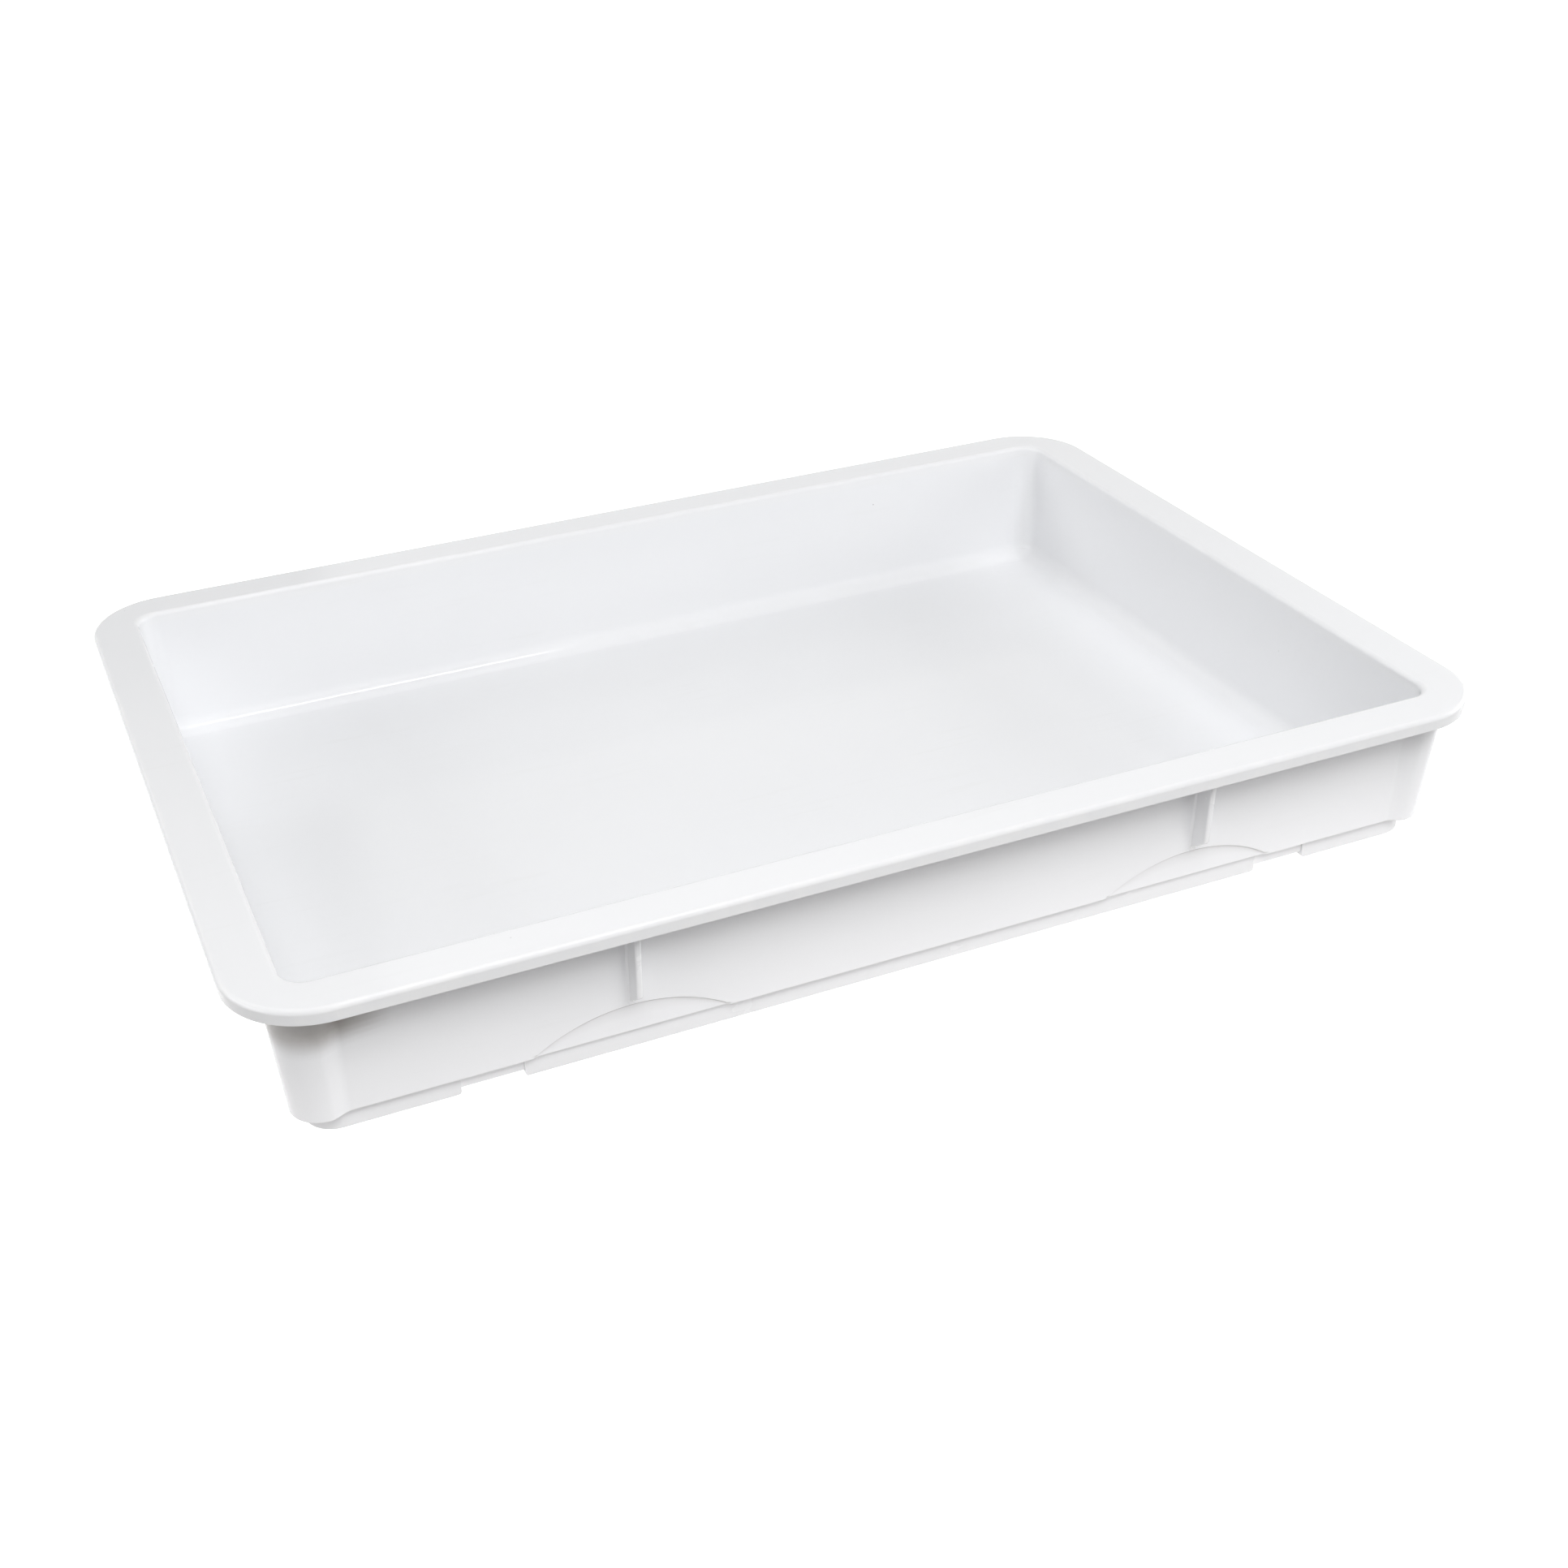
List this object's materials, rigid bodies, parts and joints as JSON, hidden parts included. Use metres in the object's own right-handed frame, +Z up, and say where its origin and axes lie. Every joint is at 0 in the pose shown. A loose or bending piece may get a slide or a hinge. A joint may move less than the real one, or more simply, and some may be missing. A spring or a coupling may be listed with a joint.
{
  "type": "shallow stacking tray",
  "caption": "Shallow rectangular open tray with flat rim flange, drafted walls, rounded corner posts, gusset fins and stacking foot rails.",
  "frame": {"origin": "centre of the footprint, on the plane that the foot rails rest on", "axes": "+Z up out of the open basin, X along the long side, -Y towards the front long side"},
  "size_m": [0.66, 0.4572, 0.0842],
  "materials": {
    "floor_plastic": "white moulded polypropylene, semi-gloss inside face",
    "wall_plastic": "white moulded polypropylene, semi-gloss",
    "rim_plastic": "white moulded polypropylene, semi-gloss with fine scuffs",
    "gusset_plastic": "white moulded polypropylene, satin",
    "foot_plastic": "white moulded polypropylene, satin, lightly worn on the resting face"
  },
  "bodies": {
    "root": {"floor_pan": "floor_plastic", "wall_front": "wall_plastic", "wall_back": "wall_plastic", "wall_left": "wall_plastic", "wall_right": "wall_plastic", "corner_post_front_left": "wall_plastic", "corner_post_front_right": "wall_plastic", "corner_post_back_left": "wall_plastic", "corner_post_back_right": "wall_plastic", "rim_front": "rim_plastic", "rim_back": "rim_plastic", "rim_left": "rim_plastic", "rim_right": "rim_plastic", "rim_corner_front_left": "rim_plastic", "rim_corner_front_right": "rim_plastic", "rim_corner_back_left": "rim_plastic", "rim_corner_back_right": "rim_plastic", "gusset_front_1": "gusset_plastic", "gusset_front_2": "gusset_plastic", "gusset_back_1": "gusset_plastic", "gusset_back_2": "gusset_plastic", "foot_mid_front": "foot_plastic", "foot_mid_back": "foot_plastic", "foot_mid_left": "foot_plastic", "foot_mid_right": "foot_plastic", "foot_corner_front_left": "foot_plastic", "foot_corner_front_right": "foot_plastic", "foot_corner_back_left": "foot_plastic", "foot_corner_back_right": "foot_plastic"}
  },
  "joints": []
}
